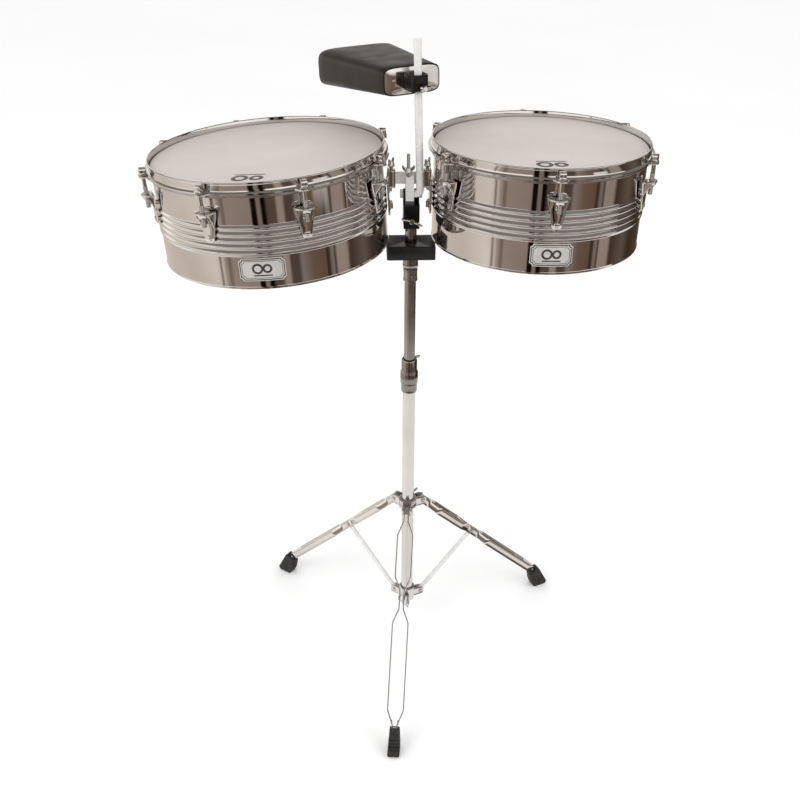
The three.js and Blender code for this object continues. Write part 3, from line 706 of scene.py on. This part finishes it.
def rod_shape():
    """Tension rod: square drum-key head, washer, plain neck and rolled thread."""
    def square(half, z):
        corners = [(half, -half), (half, half), (-half, half), (-half, -half)]
        return [(x, y, z) for x, y in rounded(corners, 1.2, 3)]

    head = stacked([
        square(4.8, -11.2), square(5.05, -10.6), square(5.05, -2.6), square(4.6, -1.5), square(3.4, -1.1),
    ])
    collar = revolve([(0, -11.8), (6.4, -11.8), (6.8, -11.3), (6.4, -10.6), (0, -10.6)], 28)
    washer = revolve([(0, -13.2), (6.9, -13.2), (7.3, -12.8), (7.3, -12.2), (6.9, -11.8), (0, -11.8)], 28)
    neck = pillar(3.1, (-30, -12.5), 0.2)
    return together(head, collar, washer, neck, threaded(3.6, (-61.9, -29.5), 1.15, 20))


def film_outline(radius):
    return [
        (0, -9.15), (radius * 0.5, -9.15), (radius - 6, -9.15), (radius - 1.5, -9.2), (radius + 0.1, -9.5),
        (radius + 0.8, -10.2), (radius + 1, -11.2), (radius + 1, -16.3), (radius + 0.4, -16.3),
        (radius + 0.4, -11), (radius - 0.2, -9.9), (radius - 1.6, -9.65), (0, -9.65),
    ]


def on_shell(radius, azimuth, out, spot):
    """A point of the flat badge, (across, height), wrapped onto the shell."""
    angle = math.radians(azimuth) + spot[0] / radius
    return ((radius + out) * math.cos(angle), (radius + out) * math.sin(angle), spot[1])


def badge_outline(width, height, notch):
    """An oblong with a quarter circle bitten out of each corner, as (across, height) points."""
    corners = ((width, height, 270), (-width, height, 0), (-width, -height, 90), (width, -height, 180))
    points = []
    for x, y, start in corners:
        points += arc(notch, start, start - 90, 8, (x, y))
    return points


def divided(points):
    """The closed outline with its long sides split, so that it follows the shell."""
    longest = 4
    result = []
    for i, point in enumerate(points):
        start, end = Vector(points[i - 1]), Vector(point)
        parts = max(1, int((end - start).length / longest))
        result += [tuple(start.lerp(end, (k + 1) / parts)) for k in range(parts)]
    return result


def wire_on_shell(radius, azimuth, out, outline, thick):
    path = [on_shell(radius, azimuth, out, spot) for spot in divided(outline)]
    section = [(thick * x, 0.25 * y) for x, y in circle(1, 8)]
    up = (math.cos(math.radians(azimuth)), math.sin(math.radians(azimuth)), 0)
    return sweep(path, section, loop=True, up=up)


def badge_plate(radius, azimuth, width, height, notch):
    columns = []
    steps = 72
    for i in range(steps + 1):
        x = -width + 2 * width * i / steps
        bite = math.sqrt(max(notch ** 2 - (width - abs(x)) ** 2, 0))
        columns.append([
            on_shell(radius, azimuth, out, (x, -129 + sign * (height - bite)))
            for out, sign in ((0.45, -1), (0.45, 1), (1.35, 1), (1.35, -1))
        ])
    return stacked(columns)


def make_badge(side, radius, azimuth, half, place):
    body = "drum_" + side
    metal = badge_plate(radius, azimuth, half, 17.3, 4.4)
    piece("badge_" + side + "_made", metal, place, body, BADGE, ["badge_" + side])
    lines = [
        ([(x, y - 129) for x, y in badge_outline(half - 2, 15.4, 4.2)], 0.75),
        ([(x, y - 129) for x, y in badge_outline(half - 4.6, 12.9, 4)], 0.4),
        (circle(6.6, 40, (-6.5, -127.6)), 1.6),
        (circle(5.4, 40, (7.5, -127.6)), 1.6),
        ([(-13, -138.4), (14, -138.4), (14, -137.6), (-13, -137.6)], 0.6),
    ]
    rings = [wire_on_shell(radius, azimuth, 1.4, outline, thick) for outline, thick in lines]
    piece("badge_mark_" + side, together(*rings), place, body, ENAMEL)


def make_hanger(side, spec):
    """A plate bolted to the shell and the sleeve on the rail that carries it, with the sleeve's screw."""
    r = spec["radius"]
    around = turn("Z", spec["to_pole"])
    outline = rounded([(-18, -117.8), (18, -117.8), (18, -64.2), (-18, -64.2)], 4)
    back = moved(plate(outline, (r + 2.9, r + 6.1), edge=0.8), FACE_OUT)
    bolts = []
    for z in (-78, -106):
        washer = moved(pillar(8.6, (r + 6, r + 7.3)), shift(0, 0, z) @ ALONG_X)
        head = moved(revolve([(0, r + 7.2), (7.4, r + 7.2), (7.6, r + 9.6), (5.6, r + 10.9), (0, r + 11)], 6),
                     shift(0, 0, z) @ ALONG_X)
        bolts += [washer, head]
    fixed = moved(together(back, *bolts), around)
    low, high = spec["sleeve"]
    to_rail = spec["place"].inverted() @ TILTED
    outer = rounded([(-8.8, 931.6), (8.8, 931.6), (8.8, 960.2), (-8.8, 960.2)], 2.5)
    inner = rounded([(-3.1, 935.8), (3.1, 935.8), (3.1, 956), (-3.1, 956)], 0.6)
    sleeve = moved(moved(plate(outer, (low + 0.1, high - 0.1), [inner], 0.8), FACE_OUT), to_rail)
    made = together(fixed, sleeve)
    piece("hanger_" + side + "_made", made, spec["place"], "drum_" + side, CHROME, ["hanger_" + side])
    screw = TILTED @ shift((low + high) / 2, 0, 955.9) @ turn("Z", 60)
    wing_screw("hanger_screw_" + side, "hanger_" + side + "_screw", screw, 3, 8, 16)


def head_mark(side, spec):
    """A printed device near the playing edge: two rings and a bar, turned to face the far side."""
    flat = (-9.14, -9.0)
    rings = []
    for x, size in ((-13, 9.5), (11, 7.5)):
        inner, outer = size - 3, size + 3
        ring = revolve([(inner, flat[0]), (outer, flat[0]), (outer, flat[1]), (inner, flat[1])], 48)
        rings.append(moved(ring, shift(x, 0, 0)))
    bar = plate(rounded([(-24, 15), (21, 15), (21, 18), (-24, 18)], 1), flat, edge=0.03)
    spot = turn("Z", spec["mark"] + 90) @ shift(0, 47 - spec["radius"], 0)
    mark = moved(together(*rings, bar), spot)
    piece("head_mark_" + side, mark, spec["place"], "drum_" + side, ENAMEL)


def make_drum(side, spec):
    r, place, body = spec["radius"], spec["place"], "drum_" + side
    shell = "shell_" + side
    piece(shell + "_made", revolve(shell_outline(r), 180), place, body, SHELL, [shell])
    lug = lug_shape(r)
    lugs = [moved(lug, turn("Z", angle)) for angle in spec["lugs"]]
    piece("lugs_" + side, together(*lugs), place, body, CHROME, [shell])
    ears = [moved(ear_shape(r), turn("Z", angle)) for angle in spec["lugs"]]
    hoop = together(revolve(hoop_outline(r), 180), *ears)
    piece("hoop_" + side + "_made", hoop, place, body, CHROME, ["hoop_" + side])
    film = "head_film_" + side
    piece(film + "_made", revolve(film_outline(r), 180), place, body, FILM, [film])
    flesh = [(r + 0.7, -21), (r + 1.6, -21.9), (r + 4.6, -21.9), (r + 5.4, -21), (r + 5.4, -17.8),
             (r + 4.6, -16.9), (r + 1.6, -16.9), (r + 0.7, -17.8)]
    piece("flesh_hoop_" + side + "_made", revolve(flesh, 180), place, body, ZINC, ["flesh_hoop_" + side])
    rod = rod_shape()
    for index, angle in enumerate(spec["lugs"], start=1):
        name = "rod_" + side + "_" + str(index)
        spot = place @ turn("Z", angle) @ shift(r + 13.5, 0, 0)
        piece(name + "_made", rod, spot, "tension_" + name, CHROME, [name])
    make_badge(side, r, *spec["badge"], place)
    head_mark(side, spec)
    make_hanger(side, spec)


# Cowbell and post

def make_post():
    """L-shaped post: a short foot, a bend, and an upright with fine rings pressed into it."""
    bend = 7.5
    lean = math.radians(POST_LEAN)
    up = Vector((math.sin(lean), 0, math.cos(lean)))
    start, corner = Vector((-19, 0, 0)), Vector((-bend, 0, 0))
    path = [start, start.lerp(corner, 0.5)]
    for k in range(13):
        t = k / 12
        path.append(corner * (1 - t) ** 2 + up * bend * t ** 2)
    top = 230
    rings = 190
    outline = circle(5.9, 32)
    path += [up * (bend + (top - bend) * (k + 1) / rings) for k in range(rings)]
    shape = sweep(path, outline, up=(0, 1, 0))
    count = len(outline)
    verts = list(shape[0])
    for ring in range(16, len(path) - 3):
        wave = 1 - 0.03 * (ring % 2)
        for k in range(count):
            index = ring * count + k
            verts[index] = path[ring] + (verts[index] - path[ring]) * wave
    piece("cowbell_post_made", (verts, shape[1]), POST, "post_body", BRIGHT, ["cowbell_post"], sharp=60)


def bell_ring(width, tall, y, top):
    """The bell's rounded oblong at one place along it, its top edge at the given height."""
    sides = 96
    points = []
    for k in range(sides):
        angle = -2 * math.pi * (k + 0.5) / sides
        c, s = math.cos(angle), math.sin(angle)
        x = math.copysign(abs(c) ** 0.34, c) * width / 2
        z = math.copysign(abs(s) ** 0.4, s) * tall / 2
        points.append((x, y, top - tall / 2 + z))
    return points


def bell_section(t, inset, y=None):
    """The bell's outline at the fraction t from heel to mouth, drawn in by inset."""
    width, tall = 92 + (139 - 92) * t, 42 + (59 - 42) * t
    spot = 2.5 + (BELL_LENGTH - 2.5) * t if y is None else y
    return bell_ring(width - 2 * inset, tall - 2 * inset, spot, -4.6 * t - inset)


def make_bell():
    end = BELL_LENGTH
    skin = [bell_section(0, 1.6, 0.6), bell_section(0, 0.5, 1.2), bell_section(0, 0, 2.6)]
    skin += [bell_section(k / 12, 0) for k in range(1, 12)]
    lip = ((0, 0.8), (0.2, 0.2), (1.2, 0.2), (1.5, 1))
    skin += [bell_section(1, inset, end - back) for inset, back in lip]
    skin += [bell_section(k / 12, 1.6) for k in range(11, 0, -1)]
    skin += [bell_section(0, 1.8, 4.2)]
    place = BELL @ shift(0, 21, 21)
    piece("cowbell_body_made", stacked(skin, closed_ends=False), place, "bell", PAINT, ["cowbell"])
    cap = [bell_section(0, 1.5, 4.6), bell_section(0, 1.4, 1.8)]
    insets = (1.9, 3, 5, 8, 11, 14, 17, 20)
    cap += [bell_section(0, inset, 0.05 + 1.3 * (1 - inset / 21) ** 2) for inset in insets]
    piece("cowbell_heel_made", stacked(cap), place, "bell", MIRROR, ["cowbell"])
    bead = [(0.55 * a, 0.55 * b) for a, b in circle(1, 8)]
    weld = sweep(bell_section(0, 0.35, 2.2), bead, loop=True, up=(0, 1, 0))
    piece("cowbell_seam_made", weld, place, "bell", PAINT, ["cowbell"])


def make_bell_clamp():
    front = rounded([(-14, 20.6), (-14, -8.6), (-9.6, -12.8), (8, -12.8), (14, -6), (14, 20.6)], 3)
    body = plate(front, (-12.3, 12.3), [circle(8.4, 32)], 1.4)
    piece("cowbell_clamp_made", body, BELL, "bell", PLASTIC, ["cowbell_clamp"])
    sleeve = [(6.4, -11.9), (7.6, -11.9), (7.9, -11.5), (7.9, 11.5), (7.6, 11.9), (6.4, 11.9)]
    piece("clamp_bushing_made", revolve(sleeve, 40), UPPER, "bushing", PLASTIC, ["clamp_bushing"])
    screw = BELL @ shift(0, -8.7, -5) @ turn("X", 90) @ turn("Z", 12)
    wing_screw("cowbell_wing_screw", "bell_screw", screw, 3, 8, 34)


# Studio

def make_floor():
    mesh = bpy.data.meshes.new("floor")
    mesh.from_pydata([(-30, -30, 0), (30, -30, 0), (30, 30, 0), (-30, 30, 0)], [], [[0, 1, 2, 3]])
    made = Finish("floor", (0.9, 0.9, 0.9), 0.0, 0.9)
    made.colour(made.noise(0.7, 3), (0.95, 0.95, 0.95), (0.97, 0.97, 0.97))
    mesh.materials.append(made.material)
    floor = bpy.data.objects.new("floor", mesh)
    bpy.context.collection.objects.link(floor)
    floor.visible_glossy = False


# What polished pieces see around them, by compass direction in degrees: a screen colour for the walls, the
# darkening of the narrow frames, and where the windows and the open door are. The wall colours were set,
# guided by readings of the photographed chrome.
WALLS = [
    (-180, (192, 182, 172)), (-150, (202, 192, 184)), (-142, (186, 175, 166)), (-138, (140, 125, 115)),
    (-106, (132, 117, 107)), (-99, (118, 103, 94)), (-95, (118, 103, 94)), (-89, (80, 65, 55)),
    (-81, (82, 67, 57)), (-79, (140, 125, 115)), (-74, (140, 125, 115)), (-72, (75, 60, 55)),
    (-64, (76, 61, 55)), (-61, (120, 110, 105)), (-50, (98, 80, 68)), (-37, (92, 73, 60)),
    (-30, (108, 96, 88)), (-23, (140, 125, 115)), (-12, (138, 124, 114)), (-8, (60, 45, 38)),
    (12, (90, 78, 70)), (26, (58, 44, 34)), (54, (70, 56, 46)), (66, (100, 90, 80)),
    (78, (200, 195, 190)), (110, (188, 178, 168)), (180, (192, 182, 172)),
]
WALL_GAIN = 1.36      # makes up for what the chrome swallows
FRAMES = [
    (-144, 1.2, 0.4), (-134, 1.6, 0.6), (-102, 2.6, 0.02),
    (-92.5, 2.2, 0.02), (-34, 1.6, 0.3), (-26, 1.2, 0.35),
]
WINDOWS = [(-180, 1), (-107, 1), (-104, 0), (-91, 0), (-88, 1), (-7, 1), (-4, 0), (38, 0), (44, 1), (180, 1)]
DOOR = [(-180, 0), (-44.5, 0), (-43, 1), (-30, 1), (-27, 0), (180, 0)]


def linear(level):
    level /= 255
    return level / 12.92 if level <= 0.04045 else ((level + 0.055) / 1.055) ** 2.4


def ramp_node(tree, source, stops):
    """A colour ramp from (position, colour) stops, the first at 0 and the last at 1."""
    made = tree.nodes.new("ShaderNodeValToRGB")
    elements = made.color_ramp.elements
    elements[0].color = (*stops[0][1], 1)
    elements[1].color = (*stops[-1][1], 1)
    for position, colour in stops[1:-1]:
        elements.new(position).color = (*colour, 1)
    tree.links.new(source, made.inputs["Fac"])
    return made.outputs["Color"]


def around_stops(stops):
    return [((degrees + 180) / 360, colour) for degrees, colour in stops]


def grey(level):
    return (level, level, level)


def blend(tree, factor, first, second, mode="MIX"):
    made = tree.nodes.new("ShaderNodeMix")
    made.data_type = "RGBA"
    made.blend_type = mode
    for name, value in (("Factor", factor), ("A", first), ("B", second)):
        if isinstance(value, (int, float, tuple)):
            made.inputs[name].default_value = value
        else:
            tree.links.new(value, made.inputs[name])
    return made.outputs["Result"]


def spread(tree, source, low, high):
    made = tree.nodes.new("ShaderNodeMapRange")
    made.inputs["From Min"].default_value = low
    made.inputs["From Max"].default_value = high
    tree.links.new(source, made.inputs["Value"])
    return made.outputs["Result"]


def make_world():
    """A room that only reflections see; every other ray finds plain soft light."""
    world = bpy.data.worlds.new("room")
    bpy.context.scene.world = world
    world.use_nodes = True
    tree = world.node_tree
    tree.nodes.clear()
    output = tree.nodes.new("ShaderNodeOutputWorld")
    place = tree.nodes.new("ShaderNodeTexCoord")
    split = tree.nodes.new("ShaderNodeSeparateXYZ")
    tree.links.new(place.outputs["Generated"], split.inputs["Vector"])
    angle = tree.nodes.new("ShaderNodeMath")
    angle.operation = "ARCTAN2"
    tree.links.new(split.outputs["Y"], angle.inputs[0])
    tree.links.new(split.outputs["X"], angle.inputs[1])
    compass = spread(tree, angle.outputs["Value"], -math.pi, math.pi)
    height = spread(tree, split.outputs["Z"], -1, 1)

    coloured = [(degrees, tuple(linear(c) * WALL_GAIN for c in colour)) for degrees, colour in WALLS]
    walls = ramp_node(tree, compass, around_stops(coloured))
    frames = [(-180, grey(1))]
    for middle, half, level in FRAMES:
        frames += [(middle - half - 0.8, grey(1)), (middle - half, grey(level)), (middle + half, grey(level)),
                   (middle + half + 0.8, grey(1))]
    frames.append((180, grey(1)))
    framed = blend(tree, 1.0, walls, ramp_node(tree, compass, around_stops(frames)), "MULTIPLY")

    glass = ramp_node(tree, compass, around_stops([(degrees, grey(level)) for degrees, level in WINDOWS]))
    sill = ramp_node(tree, height, [(0, grey(0)), (0.46, grey(0)), (0.49, grey(1)), (0.56, grey(1)),
                                    (0.59, grey(0)), (1, grey(0))])
    door = ramp_node(tree, compass, around_stops([(degrees, grey(level)) for degrees, level in DOOR]))
    step = ramp_node(tree, height, [(0, grey(0)), (0.365, grey(0)), (0.39, grey(1)), (0.5, grey(1)),
                                    (0.52, grey(0)), (1, grey(0))])
    windowed = blend(tree, blend(tree, 1.0, glass, sill, "MULTIPLY"), framed, (1.1, 1.07, 1.03, 1))
    lit = blend(tree, blend(tree, 1.0, door, step, "MULTIPLY"), windowed, (0.8, 0.77, 0.74, 1))
    ground = ramp_node(tree, height, [(0, grey(0)), (0.12, grey(0)), (0.15, grey(0.9)), (0.25, grey(0.9)),
                                      (0.285, grey(0)), (1, grey(0))])
    grounded = blend(tree, ground, lit, (0.98, 0.97, 0.955, 1))
    ceiling = ramp_node(tree, height, [(0, grey(0)), (0.64, grey(0)), (0.7, grey(1)), (1, grey(1))])
    whole = blend(tree, ceiling, grounded, (0.24, 0.225, 0.21, 1))

    room = tree.nodes.new("ShaderNodeBackground")
    tree.links.new(whole, room.inputs["Color"])
    plain = tree.nodes.new("ShaderNodeBackground")
    plain.inputs["Color"].default_value = (1, 1, 1, 1)
    plain.inputs["Strength"].default_value = 1.04
    ray = tree.nodes.new("ShaderNodeLightPath")
    choose = tree.nodes.new("ShaderNodeMixShader")
    tree.links.new(ray.outputs["Is Glossy Ray"], choose.inputs["Fac"])
    tree.links.new(plain.outputs["Background"], choose.inputs[1])
    tree.links.new(room.outputs["Background"], choose.inputs[2])
    tree.links.new(choose.outputs["Shader"], output.inputs["Surface"])


def lamp(name, spot, target, size, power, glossy=True):
    light = bpy.data.lights.new(name, "AREA")
    light.shape = "RECTANGLE"
    light.size, light.size_y = size
    light.energy = power
    obj = bpy.data.objects.new(name, light)
    obj.location = spot
    obj.rotation_euler = (Vector(target) - Vector(spot)).to_track_quat("-Z", "Y").to_euler()
    obj.visible_glossy = glossy
    bpy.context.collection.objects.link(obj)


def make_studio():
    make_floor()
    make_world()
    lamp("key", (-1.8, -1.6, 2.6), (0, 0, 0.8), (1.6, 1.6), 20, glossy=False)
    lamp("fill", (2.0, -1.2, 2.2), (0, 0, 0.8), (1.4, 1.8), 10, glossy=False)


def make_camera():
    camera = bpy.data.cameras.new("camera")
    camera.sensor_width = 36
    camera.lens = 44.2
    obj = bpy.data.objects.new("camera", camera)
    bpy.context.collection.objects.link(obj)
    swing = turn("Z", -2.3)
    obj.matrix_world = POLE @ swing @ shift(-15.7, -1493.9, 1426.3) @ turn("X", 90 - 30.58) @ turn("Z", 0.34)
    bpy.context.scene.camera = obj


bpy.context.scene.view_settings.view_transform = "Standard"
make_camera()
make_stand()
make_head()
for drum_side, drum_spec in DRUMS.items():
    make_drum(drum_side, drum_spec)
make_post()
make_bell()
make_bell_clamp()
make_studio()
